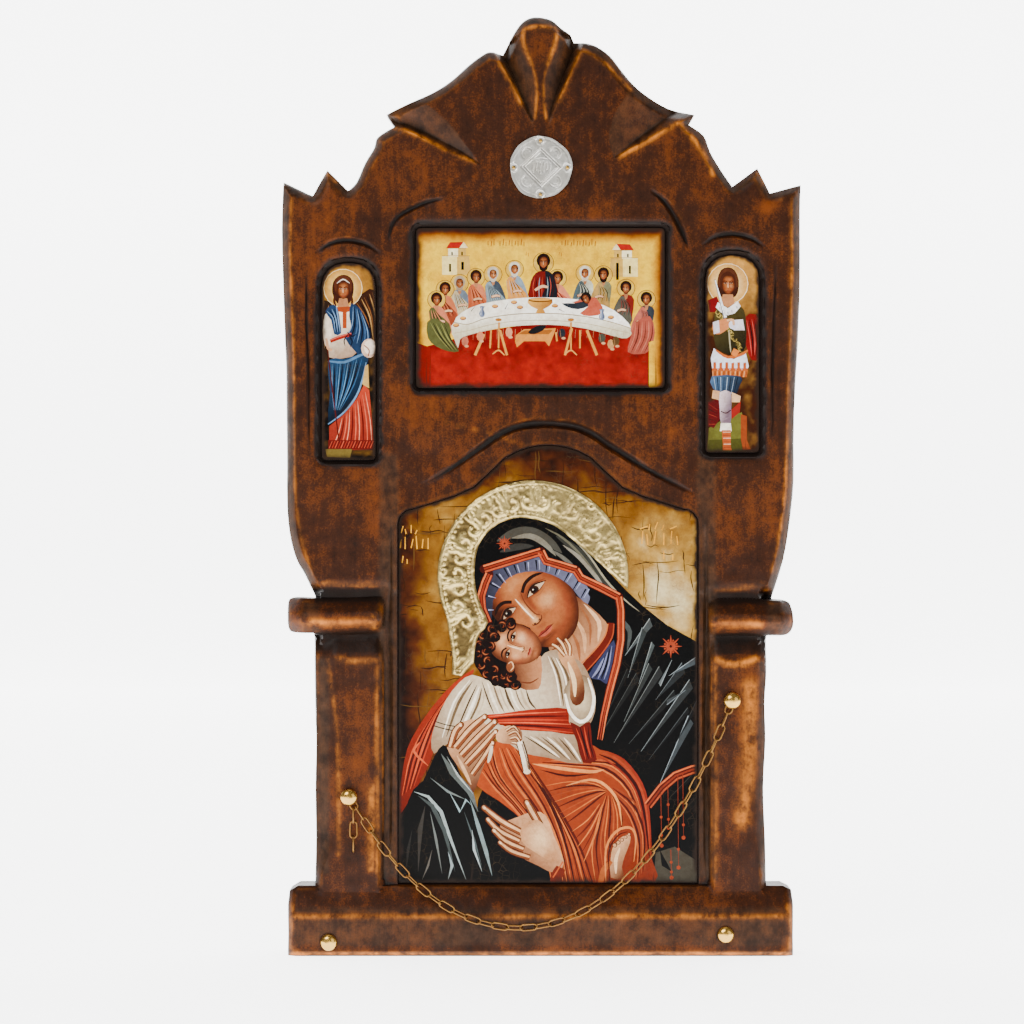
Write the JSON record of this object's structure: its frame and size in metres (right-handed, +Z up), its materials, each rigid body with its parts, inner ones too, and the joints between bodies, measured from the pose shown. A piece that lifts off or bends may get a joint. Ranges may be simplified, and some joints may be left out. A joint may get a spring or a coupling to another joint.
{
  "type": "religious icon",
  "caption": "Carved and stained wooden icon board with recessed pictures, an embossed metal halo, a medallion, domed nails and a hanging chain.",
  "frame": {"origin": "middle of the plinth's underside, halfway between the flat back and the plinth's front face", "axes": "+Z up along the board's height, +X to the right as seen from the front, +Y towards the flat back, the carved face looks along -Y"},
  "size_m": [0.31, 0.0532, 0.56],
  "materials": {
    "stained_wood": "dark brown stain with rubbed edges, satin varnish",
    "main_picture_print": "printed and varnished paper on a thin wooden backing",
    "upper_picture_print": "printed and varnished paper on a thin wooden backing",
    "left_picture_print": "printed and varnished paper on a thin wooden backing",
    "right_picture_print": "printed and varnished paper on a thin wooden backing",
    "pale_gilt": "embossed thin metal, pale gold",
    "silver": "hand cut and scratched, matt",
    "brass": "polished",
    "aged_brass": "dulled wire"
  },
  "bodies": {
    "root": {"carved_board": "stained_wood", "main_picture": "main_picture_print", "upper_picture": "upper_picture_print", "left_picture": "left_picture_print", "right_picture": "right_picture_print", "halo_plate": "pale_gilt", "medallion": "silver", "medallion_top_nail": "brass", "medallion_left_nail": "brass", "medallion_foot_nail": "brass", "medallion_right_nail": "brass", "left_column_nail": "brass", "right_column_nail": "brass", "left_plinth_nail": "brass", "right_plinth_nail": "brass", "hook_link": "aged_brass", "swag_link_01": "aged_brass", "swag_link_02": "aged_brass", "swag_link_03": "aged_brass", "swag_link_04": "aged_brass", "swag_link_05": "aged_brass", "swag_link_06": "aged_brass", "swag_link_07": "aged_brass", "swag_link_08": "aged_brass", "swag_link_09": "aged_brass", "swag_link_10": "aged_brass", "swag_link_11": "aged_brass", "swag_link_12": "aged_brass", "swag_link_13": "aged_brass", "swag_link_14": "aged_brass", "swag_link_15": "aged_brass", "swag_link_16": "aged_brass", "swag_link_17": "aged_brass", "swag_link_18": "aged_brass", "swag_link_19": "aged_brass", "swag_link_20": "aged_brass", "swag_link_21": "aged_brass", "swag_link_22": "aged_brass", "swag_link_23": "aged_brass", "swag_link_24": "aged_brass", "swag_link_25": "aged_brass", "swag_link_26": "aged_brass", "swag_link_27": "aged_brass", "swag_link_28": "aged_brass", "swag_link_29": "aged_brass", "swag_link_30": "aged_brass", "swag_link_31": "aged_brass", "swag_link_32": "aged_brass", "swag_link_33": "aged_brass", "swag_link_34": "aged_brass", "swag_link_35": "aged_brass", "swag_link_36": "aged_brass", "swag_link_37": "aged_brass", "swag_link_38": "aged_brass", "tail_link_1": "aged_brass", "tail_link_2": "aged_brass", "tail_link_3": "aged_brass"}
  },
  "joints": []
}
